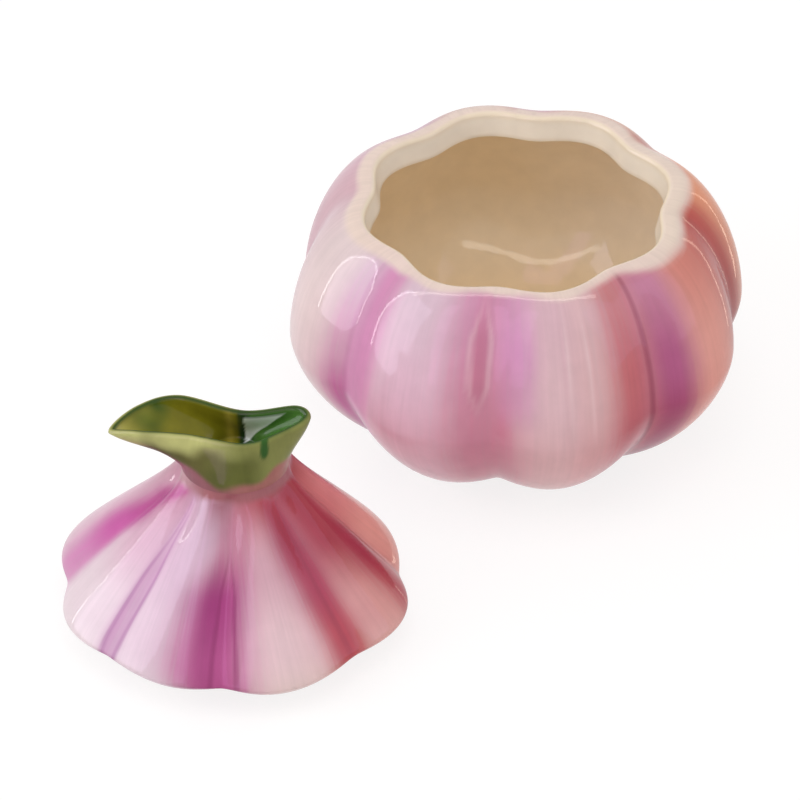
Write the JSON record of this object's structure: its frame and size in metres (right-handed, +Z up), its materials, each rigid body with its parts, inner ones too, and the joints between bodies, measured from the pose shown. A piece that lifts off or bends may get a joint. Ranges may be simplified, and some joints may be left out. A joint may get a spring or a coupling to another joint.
{
  "type": "garlic jar",
  "caption": "Ceramic garlic keeper shaped like a garlic bulb: lobed jar with a scalloped mouth, and a fluted lid with a pinched green sprout for a handle, standing beside it.",
  "frame": {"origin": "on the surface that the set stands on, under the middle of the outline of the jar and the lid together", "axes": "+Z up, the front of the set faces -Y, +X to the right as seen from the front"},
  "size_m": [0.179, 0.1882, 0.07],
  "materials": {
    "rose_clove_glaze": "glossy, cream at the rim, lilac and rose in the creases",
    "rose_cap_glaze": "glossy, lilac to rose in the creases",
    "leaf_green_glaze": "glossy, olive to dark green",
    "bare_clay_jar_foot": "matt, unglazed",
    "bare_clay_lid_foot": "matt, unglazed"
  },
  "bodies": {
    "jar": {"jar_body": "rose_clove_glaze", "jar_foot_ring": "bare_clay_jar_foot"},
    "lid": {"lid_cap": "rose_cap_glaze", "lid_foot_ring": "bare_clay_lid_foot", "sprout_handle": "leaf_green_glaze"}
  },
  "joints": [
    {"name": "lid_lift", "type": "slide", "parent": "jar", "child": "lid", "axis": [0, 0, 1], "range_m": [0, 0.12]}
  ]
}
